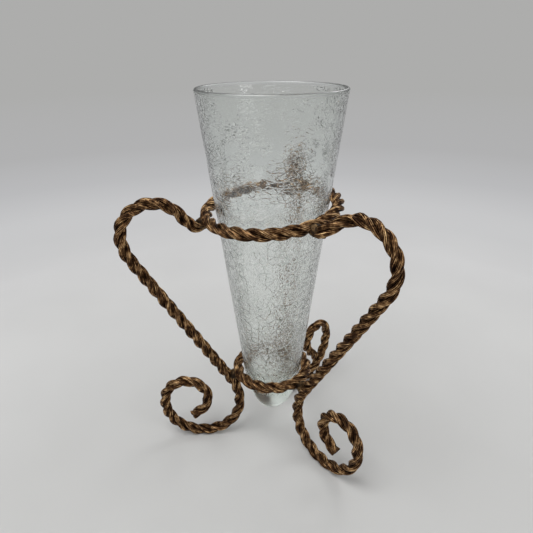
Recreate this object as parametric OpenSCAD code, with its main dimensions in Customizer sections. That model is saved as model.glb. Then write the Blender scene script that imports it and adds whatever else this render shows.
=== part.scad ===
// A cone of crackle glass that stands loose in a tripod of twisted wire rope.
// Every rope is three strands laid together. Two rope rings hold the glass, and three rope legs
// carry the rings: each leg arches out from the upper ring, runs down and in past the lower ring,
// and curls out again as a scroll foot. Brazed joints hold the ropes to each other.
// Lengths are in millimetres and angles in degrees. The origin is on the glass's axis, on the
// surface that the feet stand on, with +Z up and the back leg toward +Y.

/* [Glass vase] */
// Height of the mouth above the table
mouth_h = 254; // [235:1:280]
// Outer diameter of the mouth
mouth_d = 88; // [80:1:96]
// Thickness of the glass at the mouth
mouth_wall = 2.2; // [1.6:0.1:3.5]
// Thickness of the glass where it stands in the lower ring
seat_wall = 3.6; // [2.5:0.1:6]
// Radius of the round tip
tip_r = 14; // [11:0.5:17]
// How far the tip reaches below the lower ring
tip_drop = 36; // [32:0.5:41]
// Depth of solid glass in the tip
tip_depth = 19.5; // [12:0.5:24]

/* [Rope] */
// Diameter of the rope over its three strands
rope_d = 8.2; // [7:0.1:9]
// Length of rope in which a strand goes once round
lay_length = 31; // [26:0.5:38]
// Gap between neighbouring strands
strand_gap = 0.15; // [0.1:0.05:0.4]

/* [Rings] */
// Gap between the glass and the upper ring that it passes through
upper_clearance = 1.8; // [0.6:0.1:4]
// Height of the upper ring's centre above the table
upper_ring_h = 183; // [165:1:200]
// How far the high side of the upper ring is above its centre
upper_ring_rise = 4; // [0:0.2:6]
// Direction of the high side, where the back leg is at 90
upper_ring_high = 50; // [40:1:120]
// Diameter of the lower ring along the rope's centre
lower_ring_d = 50.5; // [46:0.5:56]
// Height of the lower ring above the table
lower_ring_h = 58; // [55:1:68]
// Gap between the glass and the lower ring that it stands in
seat_clearance = 0.3; // [0.2:0.05:0.6]

/* [Legs] */
// Steepness of the straight run from the lower ring up to the shoulder
run_slope = 60.5; // [53:0.5:65]
// Radius of the shoulder where the run starts to bend
shoulder_r = 34; // [27:1:45]
// Angle of the shoulder's bend
shoulder_turn = 27; // [18:1:34]
// Angle of the arch's bend at the top, for the back, left and right legs
arch_turns = [137, 142.5, 135];
// Straight length between the arch and the top end, for the back, left and right legs
lead_lengths = [24, 10, 14];
// Radius of the hook at the top end of a leg
hook_r = 5.5; // [5.2:0.1:7]
// Angle of the hook's bend, for the back, left and right legs
hook_turns = [0, 95, 0];
// How far round the upper ring each leg's top end is swept
end_sweeps = [0, 0, -12];
// Length of the top end that is swept round
sweep_length = 18; // [12:1:24]
// How far a straight top end runs on past the upper ring
end_overlap = 3; // [0:0.5:5]
// Radius of the knee below the lower ring
knee_r = 39; // [30:1:44]
// Angle of the knee's bend
knee_turn = 37; // [24:0.5:41]
// Radius of the sole on its inner side, down to the table
heel_r = 27.5; // [24:0.5:30]
// Radius of the sole on its outer side, up from the table, for the back, left and right legs
sole_radii = [35, 28.5, 29];
// Angle of the outer sole's bend, for the back, left and right legs
sole_turns = [95, 107, 107.5];
// Radius of the scroll that ends the foot, for the back, left and right legs
scroll_radii = [13.2, 15.8, 15.2];
// Angle of the scroll's bend, for the back, left and right legs
scroll_turns = [215, 220, 226];
// Straight end of the scroll, for the back, left and right legs
scroll_tails = [13, 6, 6];
// How far round each foot is turned from its leg, for the back, left and right legs
foot_turns = [-30, -11, -3.5];
// Length of leg in which a foot turns
turn_length = 25; // [16:1:32]

/* [Brazed joints] */
// Diameter of a bead of braze
braze_d = 8.6; // [7:0.2:10.6]
// Gap between a leg and a ring, which the braze fills
braze_gap = 0.1; // [0.05:0.05:0.3]

/* [Hidden] */

// Counts of the rope and of the glass's outline
strands = 3;
rings_per_turn = 8;
strand_sides = 5;
tip_steps = 8;
rim_steps = 6;
glass_sides = 96;
bead_sides = 10;
core_sides = 8;
bead_stations = 3;
half_turn = 180;

// The legs, in the order in which their own sizes are listed
BACK = 0;
LEFT = 1;
RIGHT = 2;
leg_dirs = [90, 210, 330];

// Shares of the glass's lower end and of the rope
tip_pull_share = 0.42;
cavity_pull_share = 0.45;
cavity_round_share = 0.6;
sole_cut_share = 0.1;
core_share = 0.8;
nudge_share = 0.02;

// Across a rope of three strands: each strand's diameter, and how far its centre is off the rope's
strand_d = (rope_d - strand_gap * 2 / sqrt(3)) / (1 + 2 / sqrt(3));
lay_r = (strand_d + strand_gap) / sqrt(3);

// The cone's slope where it stands in the lower ring, and its radius there
seat_rise = mouth_h - lower_ring_h;
seat_fall = mouth_d / 2 - lower_ring_d / 2 + rope_d / 2 + seat_clearance;
seat_lean = atan(seat_fall / seat_rise);
seat_r = lower_ring_d / 2 - (rope_d / 2 + seat_clearance) / cos(seat_lean);
tip_h = lower_ring_h - tip_drop;
cavity_h = tip_h + tip_depth;
rim_h = mouth_h - mouth_wall / 2;

// Radius of the cone's straight outside at a height
function side_r(h) = seat_r + (mouth_d / 2 - seat_r) * (h - lower_ring_h) / (rim_h - lower_ring_h);

// The upper ring goes round the cone at its own height
upper_ring_r = side_r(upper_ring_h) + rope_d / 2 + upper_clearance;

// The path of a leg lies in an upright plane: [distance from the glass's axis, height].
// A piece of the path is [length, bend], and a bend to the left is more than zero.
function bend(radius, turn) = [radius * abs(turn) * PI / 180, turn];
function straight(length) = [length, 0];

// How far the path comes after a length u of a piece that it enters in the given heading
function along(piece, u, heading) =
    piece[1] == 0
    ? u * [cos(heading), sin(heading)]
    : let (
        radius = piece[0] / (piece[1] * PI / 180),
        end = heading + piece[1] * u / piece[0]
    ) radius * [sin(end) - sin(heading), cos(heading) - cos(end)];

// Where each piece of a path starts: [length so far, point, heading]
function starts(pieces, point, heading, length = 0, i = 0) =
    i == len(pieces)
    ? [[length, point, heading]]
    : concat(
        [[length, point, heading]],
        starts(pieces, point + along(pieces[i], pieces[i][0], heading),
            heading + pieces[i][1], length + pieces[i][0], i + 1));

// The number of the piece that holds length s of a path
function piece_at(path_starts, s, i = 0) =
    i >= len(path_starts) - 2 || s < path_starts[i + 1][0]
    ? i
    : piece_at(path_starts, s, i + 1);

function flat_point(pieces, path_starts, s) =
    let (i = piece_at(path_starts, s), start = path_starts[i])
    start[1] + along(pieces[i], s - start[0], start[2]);

function unit(v) = v / norm(v);
function ease(share) = let (t = max(0, min(1, share))) t * t * (3 - 2 * t);

// Height of the upper ring in a direction
function upper_ring_at(direction) =
    upper_ring_h + upper_ring_rise * cos(direction - upper_ring_high);

// Where a leg crosses under the lower ring
crossing = [lower_ring_d / 2, lower_ring_h] + (rope_d + braze_gap) * [sin(run_slope), -cos(run_slope)];

// Headings of a leg, followed upward: at the arch's end and at the top end
function arch_heading(leg) = run_slope + shoulder_turn + arch_turns[leg];
function end_heading(leg) = arch_heading(leg) - hook_turns[leg];

// The top end of a leg: a hooked end butts on the ring, and a straight one lies under it
function leg_end(leg) =
    let (
        ring = [upper_ring_r, upper_ring_at(leg_dirs[leg])],
        heading = end_heading(leg),
        ahead = [cos(heading), sin(heading)],
        beside = [sin(heading), -cos(heading)]
    )
    hook_turns[leg] > 0
    ? ring - (rope_d / 2 + braze_gap) * ahead
    : ring - (rope_d + braze_gap) * beside + end_overlap * ahead;

// The straight run and the arch share out what is left between the crossing and the top end
// once the shoulder, the lead and the hook are taken off: the arch is as wide as it has to be
function run_ahead() = [cos(run_slope), sin(run_slope)];
function arch_share(leg) =
    let (from = run_slope + shoulder_turn, to = arch_heading(leg))
    [sin(to) - sin(from), cos(from) - cos(to)];
function left_over(leg) =
    let (
        shoulder = bend(shoulder_r, shoulder_turn),
        hook = bend(hook_r, -hook_turns[leg]),
        up = arch_heading(leg)
    )
    leg_end(leg) - crossing
    - along(shoulder, shoulder[0], run_slope)
    - along(straight(lead_lengths[leg]), lead_lengths[leg], up)
    - along(hook, hook[0], up);
function arch_r(leg) = cross(run_ahead(), left_over(leg)) / cross(run_ahead(), arch_share(leg));
function run_length(leg) = left_over(leg) * run_ahead() - arch_r(leg) * (arch_share(leg) * run_ahead());

// The heel brings the foot level at the table, and the shin gives it the height that is left
heel_turn = half_turn - run_slope - knee_turn;
knee = bend(knee_r, knee_turn);
heel = bend(heel_r, heel_turn);
sole_h = rope_d / 2 - rope_d * sole_cut_share;
foot_fall = along(knee, knee[0], run_slope + half_turn)
    + along(heel, heel[0], run_slope + half_turn + knee_turn);
shin_length = (crossing[1] + foot_fall[1] - sole_h) / sin(run_slope);

// A whole leg from its top end down to the end of its scroll
function leg_pieces(leg) = [
    bend(hook_r, hook_turns[leg]),
    straight(lead_lengths[leg]),
    bend(arch_r(leg), -arch_turns[leg]),
    bend(shoulder_r, -shoulder_turn),
    straight(run_length(leg)),
    straight(shin_length),
    knee,
    heel,
    bend(sole_radii[leg], sole_turns[leg]),
    bend(scroll_radii[leg], scroll_turns[leg]),
    straight(scroll_tails[leg])];
leg_paths = [for (leg = [BACK, LEFT, RIGHT]) leg_pieces(leg)];
leg_starts = [for (leg = [BACK, LEFT, RIGHT]) starts(leg_paths[leg], leg_end(leg), end_heading(leg) + half_turn)];
leg_lengths = [for (list = leg_starts) list[len(list) - 1][0]];
crossing_lengths = [for (list = leg_starts) list[5][0]];

// How far length s of a leg is turned: its foot about the crossing, and its top end round the ring
function foot_turn_at(leg, s) = foot_turns[leg] * ease((s - crossing_lengths[leg]) / turn_length);
function sweep_at(leg, s) = end_sweeps[leg] * ease(1 - s / sweep_length);

// A point of a leg in space
function leg_point(leg, s) =
    let (
        flat = flat_point(leg_paths[leg], leg_starts[leg], s),
        dir = leg_dirs[leg],
        swept = dir + sweep_at(leg, s),
        turned = swept + foot_turn_at(leg, s),
        past = flat[0] - crossing[0],
        rise = upper_ring_at(swept) - upper_ring_at(dir)
    )
    [crossing[0] * cos(swept) + past * cos(turned),
        crossing[0] * sin(swept) + past * sin(turned),
        flat[1] + rise];

// A station of a rope: [centre, first direction across, second direction across, strand's turn]
function station(centre, ahead, side, turn) =
    let (
        forward = unit(ahead),
        across = unit(side - (side * forward) * forward)
    )
    [centre, across, cross(forward, across), turn];

nudge = rope_d * nudge_share;
function leg_station(leg, s) =
    let (dir = leg_dirs[leg] + sweep_at(leg, s) + foot_turn_at(leg, s))
    station(leg_point(leg, s), leg_point(leg, s + nudge) - leg_point(leg, s - nudge),
        [-sin(dir), cos(dir), 0], 360 * s / lay_length);
function leg_rope(leg) =
    let (count = round(leg_lengths[leg] / lay_length * rings_per_turn))
    [for (k = [0:count]) leg_station(leg, leg_lengths[leg] * k / count)];
leg_ropes = [for (leg = [BACK, LEFT, RIGHT]) leg_rope(leg)];

// A ring of rope, in which each strand goes a whole number of times round and closes on itself
function ring_rope(radius, height, rise, high) =
    let (
        turns = round(2 * PI * radius / lay_length),
        count = turns * rings_per_turn
    )
    [for (k = [0:count - 1])
        let (
            a = 360 * k / count,
            slope = -rise * sin(a - high)
        )
        station([radius * cos(a), radius * sin(a), height + rise * cos(a - high)],
            [-radius * sin(a), radius * cos(a), slope],
            [cos(a), sin(a), 0], turns * a)];
upper_rope = ring_rope(upper_ring_r, upper_ring_h, upper_ring_rise, upper_ring_high);
lower_rope = ring_rope(lower_ring_d / 2, lower_ring_h, 0, 0);

// A point beside a rope's station, a distance out in a direction
function beside(place, r, a) = place[0] + r * (cos(a) * place[1] + sin(a) * place[2]);

// One section of a strand: a small polygon with a corner on the rope's outside
function strand_section(place, strand) =
    let (out = place[3] + 360 * (strand - 1) / strands)
    [for (j = [0:strand_sides - 1])
        beside(place, lay_r, out) + strand_d / 2 * (
            cos(out + 360 * j / strand_sides) * place[1] + sin(out + 360 * j / strand_sides) * place[2])];

// One section of the round core that stands for what braze can't reach between the strands
function core_section(place) =
    [for (j = [0:core_sides - 1]) beside(place, rope_d / 2 * core_share, place[3] + 360 * j / core_sides)];

// A solid through a row of sections with the same number of corners
module through(sections, closed) {
    rows = len(sections);
    sides = len(sections[0]);
    last = closed ? rows - 1 : rows - 2;
    skin = [for (k = [0:last], j = [0:sides - 1])
        let (
            a = k * sides + j,
            b = k * sides + (j + 1) % sides,
            c = (k + 1) % rows * sides + (j + 1) % sides,
            d = (k + 1) % rows * sides + j
        )
        each [[a, d, b], [b, d, c]]];
    caps = closed
        ? []
        : concat(
            [for (j = [1:sides - 2]) [0, j, j + 1]],
            [for (j = [1:sides - 2]) [(rows - 1) * sides, (rows - 1) * sides + j + 1, (rows - 1) * sides + j]]);
    polyhedron(points = [for (section = sections) each section], faces = concat(skin, caps));
}

module strand_of(rope, strand, closed) {
    through([for (place = rope) strand_section(place, strand)], closed);
}

// The short stretch of an open rope round a station, strands and core, to cut braze with
module stretch(rope, middle, reach) {
    near = [for (k = [max(0, middle - reach):min(len(rope) - 1, middle + reach)]) rope[k]];
    for (strand = [1:strands]) {
        strand_of(near, strand, false);
    }
    through([for (place = near) core_section(place)], false);
}

// The same for a closed ring, whose stations count on past the first one
module ring_stretch(rope, middle, reach) {
    near = [for (k = [middle - reach:middle + reach]) rope[(k + len(rope)) % len(rope)]];
    for (strand = [1:strands]) {
        strand_of(near, strand, false);
    }
    through([for (place = near) core_section(place)], false);
}

// Points of a curve pulled by two handles between its ends
function pulled(a, b, c, d, t) =
    (1 - t) ^ 3 * a + 3 * (1 - t) ^ 2 * t * b + 3 * (1 - t) * t ^ 2 * c + t ^ 3 * d;

module glass_vase() {
    lean = [sin(seat_lean), cos(seat_lean)];
    seat = [seat_r, lower_ring_h];
    tip_handle = seat - tip_drop * tip_pull_share * lean;
    tip_flat = sqrt(tip_r * (tip_handle[1] - tip_h) * 2 / 3);
    inner = [seat_r - seat_wall, lower_ring_h];
    inner_handle = inner - (lower_ring_h - cavity_h) * cavity_pull_share * lean;
    tip = [for (k = [0:tip_steps - 1])
        pulled([0, tip_h], [tip_flat, tip_h], tip_handle, seat, k / tip_steps)];
    rim = [for (k = [0:rim_steps])
        let (a = 180 * k / rim_steps)
        [mouth_d / 2 - mouth_wall / 2 + mouth_wall / 2 * cos(a), rim_h + mouth_wall / 2 * sin(a)]];
    cavity = [for (k = [0:tip_steps])
        pulled(inner, inner_handle, [inner[0] * cavity_round_share, cavity_h], [0, cavity_h], k / tip_steps)];
    color([0.78, 0.86, 0.83, 0.5])
    rotate_extrude($fn = glass_sides)
    polygon(concat(tip, [seat], rim, cavity));
}

module upper_ring_strand(strand) {
    color([0.47, 0.34, 0.19])
    strand_of(upper_rope, strand, true);
}

module lower_ring_strand(strand) {
    color([0.47, 0.34, 0.19])
    strand_of(lower_rope, strand, true);
}

// The soles are cut flat where they stand
module leg_strand(leg, strand) {
    reach = 2 * mouth_d;
    color([0.43, 0.31, 0.17])
    intersection() {
        strand_of(leg_ropes[leg], strand, false);
        translate([-reach, -reach, 0])
        cube([2 * reach, 2 * reach, mouth_h]);
    }
}

// A bead of braze where a leg meets the upper ring: at the end of a hook, or beside a straight end
module upper_braze(leg) {
    hooked = hook_turns[leg] > 0;
    seat_s = hooked ? 0 : end_overlap;
    dir = leg_dirs[leg] + sweep_at(leg, seat_s);
    ring_point = [upper_ring_r * cos(dir), upper_ring_r * sin(dir), upper_ring_at(dir)];
    step_length = leg_lengths[leg] / (len(leg_ropes[leg]) - 1);
    color([0.74, 0.58, 0.29])
    difference() {
        translate(hooked ? leg_point(leg, seat_s) : (leg_point(leg, seat_s) + ring_point) / 2)
        sphere(d = braze_d, $fn = bead_sides);
        stretch(leg_ropes[leg], round(seat_s / step_length), bead_stations);
        ring_stretch(upper_rope, round(len(upper_rope) * dir / 360), bead_stations);
    }
}

// A bead of braze where a leg crosses the lower ring
module lower_braze(leg) {
    dir = leg_dirs[leg];
    ring_point = [lower_ring_d / 2 * cos(dir), lower_ring_d / 2 * sin(dir), lower_ring_h];
    step_length = leg_lengths[leg] / (len(leg_ropes[leg]) - 1);
    color([0.74, 0.58, 0.29])
    difference() {
        translate((leg_point(leg, crossing_lengths[leg]) + ring_point) / 2)
        sphere(d = braze_d, $fn = bead_sides);
        stretch(leg_ropes[leg], round(crossing_lengths[leg] / step_length), bead_stations);
        ring_stretch(lower_rope, round(len(lower_rope) * dir / 360), bead_stations);
    }
}

glass_vase();
upper_ring_strand(1);  // upper_ring_strand_1
upper_ring_strand(2);  // upper_ring_strand_2
upper_ring_strand(3);  // upper_ring_strand_3
lower_ring_strand(1);  // lower_ring_strand_1
lower_ring_strand(2);  // lower_ring_strand_2
lower_ring_strand(3);  // lower_ring_strand_3
leg_strand(BACK, 1);  // back_leg_strand_1
leg_strand(BACK, 2);  // back_leg_strand_2
leg_strand(BACK, 3);  // back_leg_strand_3
leg_strand(LEFT, 1);  // left_leg_strand_1
leg_strand(LEFT, 2);  // left_leg_strand_2
leg_strand(LEFT, 3);  // left_leg_strand_3
leg_strand(RIGHT, 1);  // right_leg_strand_1
leg_strand(RIGHT, 2);  // right_leg_strand_2
leg_strand(RIGHT, 3);  // right_leg_strand_3
upper_braze(BACK);  // back_upper_braze
upper_braze(LEFT);  // left_upper_braze
upper_braze(RIGHT);  // right_upper_braze
lower_braze(BACK);  // back_lower_braze
lower_braze(LEFT);  // left_lower_braze
lower_braze(RIGHT);  // right_lower_braze
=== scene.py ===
"""Looks for the crackle-glass cone in its tripod of twisted wire rope.

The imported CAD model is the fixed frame. Each strand of rope is made again here as a bundle of
twisted wires along the route that the part's source gives it, the glass as a fine revolved shell
with a cracked skin, and the braze as small rough beads. Lengths are in millimetres in the
dataclasses, as in the part's source, and become metres in the meshes.
"""

from __future__ import annotations

import logging
import math
from dataclasses import dataclass, field, replace
from enum import Enum
from functools import partial, reduce
from typing import NamedTuple, Sequence

import bmesh
import bpy
from mathutils import Matrix, Vector, noise

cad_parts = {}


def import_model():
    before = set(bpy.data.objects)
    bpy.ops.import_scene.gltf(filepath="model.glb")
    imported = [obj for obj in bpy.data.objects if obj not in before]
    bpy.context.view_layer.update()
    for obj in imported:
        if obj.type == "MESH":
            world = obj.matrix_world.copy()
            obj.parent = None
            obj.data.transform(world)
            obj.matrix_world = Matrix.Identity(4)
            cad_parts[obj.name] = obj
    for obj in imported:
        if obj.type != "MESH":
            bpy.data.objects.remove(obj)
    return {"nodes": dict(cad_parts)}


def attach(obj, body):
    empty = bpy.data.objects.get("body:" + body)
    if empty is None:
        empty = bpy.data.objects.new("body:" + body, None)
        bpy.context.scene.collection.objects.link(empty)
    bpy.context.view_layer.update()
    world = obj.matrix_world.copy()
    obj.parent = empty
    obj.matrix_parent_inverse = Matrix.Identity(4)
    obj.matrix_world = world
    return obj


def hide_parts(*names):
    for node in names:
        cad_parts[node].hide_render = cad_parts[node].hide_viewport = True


LOG = logging.getLogger("scene")
MM = 0.001
MERGE = 1e-3 * MM
Colour = tuple[float, float, float]
Triple = tuple[float, float, float]
GREY_MIDDLE: Triple = (0.5, 0.5, 0.5)


class Leg(Enum):
    """The three legs, in the order in which their own sizes are listed."""

    BACK = 0
    LEFT = 1
    RIGHT = 2


# Sizes, as in the part's source


@dataclass(frozen=True)
class GlassSizes:
    """The cone of glass.

    Attributes:
        mouth_h: Height of the mouth.
        mouth_d: Outer width of the mouth.
        mouth_wall: Thickness of the wall at the mouth.
        seat_wall: Thickness of the wall at the lower ring.
        tip_r: Radius of the tip's underside.
        tip_drop: How far the tip hangs below the lower ring's middle.
        tip_depth: Thickness of the glass under the cavity.
        tip_pull: Share of tip_drop over which the side runs on below the seat.
        cavity_pull: Share of the cavity's depth below the seat over which its side runs on.
        cavity_round: How flat the cavity's bottom is, as a share of the cavity's radius.
    """

    mouth_h: float = 254.0
    mouth_d: float = 88.0
    mouth_wall: float = 2.2
    seat_wall: float = 3.6
    tip_r: float = 14.0
    tip_drop: float = 36.0
    tip_depth: float = 19.5
    tip_pull: float = 0.42
    cavity_pull: float = 0.45
    cavity_round: float = 0.6


@dataclass(frozen=True)
class RopeSizes:
    """The rope and its three strands.

    Attributes:
        rope_d: Width over the strands.
        lay_length: Length over which a strand goes once round.
        strand_gap: Gap between neighbouring strands.
        strands: How many strands the rope has.
    """

    rope_d: float = 8.2
    lay_length: float = 31.0
    strand_gap: float = 0.15
    strands: int = 3

    @property
    def strand_d(self) -> float:
        """Diameter of one strand."""
        return (self.rope_d - self.strand_gap * 2 / math.sqrt(3)) / (1 + 2 / math.sqrt(3))

    @property
    def lay_r(self) -> float:
        """Distance from the rope's centre to a strand's centre."""
        return (self.strand_d + self.strand_gap) / math.sqrt(3)


@dataclass(frozen=True)
class StandSizes:
    """The two rings and the three legs, whose own sizes stand in the order back, left, right.

    Attributes:
        upper_clearance: Gap between the glass and the upper ring.
        upper_ring_h: Height of the upper ring's middle.
        upper_ring_rise: How far its high side is above the middle.
        upper_ring_high: Direction of the high side.
        lower_ring_d: Width of the lower ring along the rope's centre.
        lower_ring_h: Height of the lower ring.
        seat_clearance: Gap between the glass and the lower ring.
        run_slope: Slope of the straight run from the lower ring up to the shoulder.
        shoulder_r, shoulder_turn: The bend at the run's upper end.
        arch_turns: Turns of the arches over the top.
        lead_lengths: Straight lengths from the arch to the end or the hook.
        hook_r, hook_turns: The hook at the top end.
        end_sweeps, sweep_length: How far the end is swept round the ring, and over what length.
        end_overlaps: How far an end runs on past the ring.
        end_swings: How far an end is swung from under the ring toward its outside.
        knee_r, knee_turn: The bend below the lower ring.
        heel_r: The bend from the shin to the sole.
        sole_radii, sole_turns: The bend that stands on the table.
        scroll_radii, scroll_turns, scroll_tails: The scroll and its straight end.
        foot_turns, turn_length: How far a foot is turned about the crossing, and over what length.
        braze_d, braze_gap: Width of a bead, and the gap between ropes that it bridges.
        sole_cut: Share of the rope's width that is cut away to stand flat.
        leg_dirs: Directions of the legs.
        beside_lead, beside_overlap, beside_swing: The right leg's end, laid beside the ring.
    """

    upper_clearance: float = 1.8
    upper_ring_h: float = 183.0
    upper_ring_rise: float = 4.0
    upper_ring_high: float = 50.0
    lower_ring_d: float = 50.5
    lower_ring_h: float = 58.0
    seat_clearance: float = 0.3
    run_slope: float = 60.5
    shoulder_r: float = 34.0
    shoulder_turn: float = 27.0
    arch_turns: tuple[float, ...] = (137.0, 142.5, 135.0)
    lead_lengths: tuple[float, ...] = (24.0, 10.0, 14.0)
    hook_r: float = 5.5
    hook_turns: tuple[float, ...] = (0.0, 95.0, 0.0)
    end_sweeps: tuple[float, ...] = (0.0, 0.0, -12.0)
    sweep_length: float = 18.0
    end_overlaps: tuple[float, ...] = (3.0, 0.0, 3.0)
    end_swings: tuple[float, ...] = (0.0, 0.0, 0.0)
    knee_r: float = 39.0
    knee_turn: float = 37.0
    heel_r: float = 27.5
    sole_radii: tuple[float, ...] = (35.0, 28.5, 29.0)
    sole_turns: tuple[float, ...] = (95.0, 107.0, 107.5)
    scroll_radii: tuple[float, ...] = (13.2, 15.8, 15.2)
    scroll_turns: tuple[float, ...] = (215.0, 220.0, 226.0)
    scroll_tails: tuple[float, ...] = (13.0, 6.0, 6.0)
    foot_turns: tuple[float, ...] = (-30.0, -11.0, -3.5)
    turn_length: float = 25.0
    braze_d: float = 8.6
    braze_gap: float = 0.1
    sole_cut: float = 0.1
    leg_dirs: tuple[float, ...] = (90.0, 210.0, 330.0)
    beside_lead: float = 5.5
    beside_overlap: float = 0.5
    beside_swing: float = 36.0

    def end_beside(self) -> StandSizes:
        """Lays the right leg's end beside the upper ring, as the photograph shows it.

        Returns:
            The sizes of that stand.
        """
        return replace(self, lead_lengths=(*self.lead_lengths[:2], self.beside_lead),
                       end_overlaps=(*self.end_overlaps[:2], self.beside_overlap),
                       end_swings=(*self.end_swings[:2], self.beside_swing))


# Routes of the ropes


class Piece(NamedTuple):
    """A piece of a flat path: its length and how far it bends, left being more than zero."""

    length: float
    turn: float


class Station(NamedTuple):
    """A place on a rope: its centre, three directions there and the strands' turn in radians."""

    centre: Vector
    across: Vector
    second: Vector
    ahead: Vector
    turn: float


class Start(NamedTuple):
    """Where a piece of a path starts: the length so far, the point and the heading."""

    length: float
    point: Vector
    heading: float


def bend(radius: float, turn: float) -> Piece:
    """A bend of a radius in millimetres through a turn in degrees."""
    return Piece(radius * math.radians(abs(turn)), math.radians(turn))


def straight(length: float) -> Piece:
    """A straight piece."""
    return Piece(length, 0.0)


def heading_vector(heading: float) -> Vector:
    """The flat unit vector of a heading in radians."""
    return Vector((math.cos(heading), math.sin(heading)))


def along(piece: Piece, u: float, heading: float) -> Vector:
    """How far a path comes along a piece.

    Args:
        piece: The piece.
        u: The length covered.
        heading: The heading in which the piece is entered, in radians.

    Returns:
        The flat offset.
    """
    if piece.turn == 0 or piece.length == 0:
        return heading_vector(heading) * u
    radius = piece.length / piece.turn
    end = heading + piece.turn * u / piece.length
    return radius * Vector((math.sin(end) - math.sin(heading), math.cos(heading) - math.cos(end)))


def cross_flat(a: Vector, b: Vector) -> float:
    """The cross product of two flat vectors."""
    return a.x * b.y - a.y * b.x


def ease(share: float) -> float:
    """Smooth step from 0 to 1."""
    t = max(0.0, min(1.0, share))
    return t * t * (3 - 2 * t)


def round_z(radius: float, direction: float, height: float) -> Vector:
    """The point at a radius, in a direction in degrees and at a height."""
    a = math.radians(direction)
    return Vector((radius * math.cos(a), radius * math.sin(a), height))


def station(centre: Vector, ahead: Vector, side: Vector, turn: float) -> Station:
    """Makes a station whose first direction is the part of a side vector that is square to the rope.

    Args:
        centre: The rope's centre there.
        ahead: The way the rope runs, of any length.
        side: A vector beside the rope.
        turn: The strands' turn in radians.

    Returns:
        The station.
    """
    forward = ahead.normalized()
    across = (side - side.dot(forward) * forward).normalized()
    return Station(centre, across, forward.cross(across), forward, turn)


@dataclass(frozen=True)
class Routes:
    """Places and routes that follow from the sizes, worked out as the part's source does."""

    glass: GlassSizes
    rope: RopeSizes
    stand: StandSizes

    @property
    def seat_lean(self) -> float:
        """The cone's slope where it stands in the lower ring.

        Returns:
            The angle from upright in radians.
        """
        g, r, s = self.glass, self.rope, self.stand
        fall = g.mouth_d / 2 - s.lower_ring_d / 2 + r.rope_d / 2 + s.seat_clearance
        return math.atan(fall / (g.mouth_h - s.lower_ring_h))

    @property
    def seat_r(self) -> float:
        """The cone's radius where it stands in the lower ring."""
        s = self.stand
        return s.lower_ring_d / 2 - (self.rope.rope_d / 2 + s.seat_clearance) / math.cos(self.seat_lean)

    @property
    def rim_h(self) -> float:
        """Height of the centre of the rim's round edge."""
        return self.glass.mouth_h - self.glass.mouth_wall / 2

    def side_r(self, height: float) -> float:
        """Radius of the cone's straight outside at a height."""
        share = (height - self.stand.lower_ring_h) / (self.rim_h - self.stand.lower_ring_h)
        return self.seat_r + (self.glass.mouth_d / 2 - self.seat_r) * share

    @property
    def upper_ring_r(self) -> float:
        """Radius of the upper ring along the rope's centre."""
        return self.side_r(self.stand.upper_ring_h) + self.rope.rope_d / 2 + self.stand.upper_clearance

    def upper_ring_at(self, direction: float) -> float:
        """Height of the upper ring in a direction in degrees."""
        s = self.stand
        return s.upper_ring_h + s.upper_ring_rise * math.cos(math.radians(direction - s.upper_ring_high))

    @property
    def crossing(self) -> Vector:
        """Where a leg crosses under the lower ring.

        Returns:
            The distance from the axis and the height.
        """
        s = self.stand
        slope = math.radians(s.run_slope)
        off = self.rope.rope_d + s.braze_gap
        return Vector((s.lower_ring_d / 2 + off * math.sin(slope), s.lower_ring_h - off * math.cos(slope)))

    def ring(self, radius: float, height: float, rise: float, high: float, step: float) -> list[Station]:
        """Stations round a closed ring.

        Args:
            radius: Radius along the rope's centre.
            height: Height of the ring's centre.
            rise: How far the high side is above the centre.
            high: Direction of the high side in degrees.
            step: Longest distance between stations.

        Returns:
            The stations, the last of which lies on the first.
        """
        turns = round(math.tau * radius / self.rope.lay_length)
        count = math.ceil(math.tau * radius / step)
        stations = []
        for k in range(count + 1):
            a = math.tau * k / count
            lift = a - math.radians(high)
            stations.append(station(
                Vector((radius * math.cos(a), radius * math.sin(a), height + rise * math.cos(lift))),
                Vector((-radius * math.sin(a), radius * math.cos(a), -rise * math.sin(lift))),
                Vector((math.cos(a), math.sin(a), 0.0)),
                turns * a))
        return stations


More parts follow.
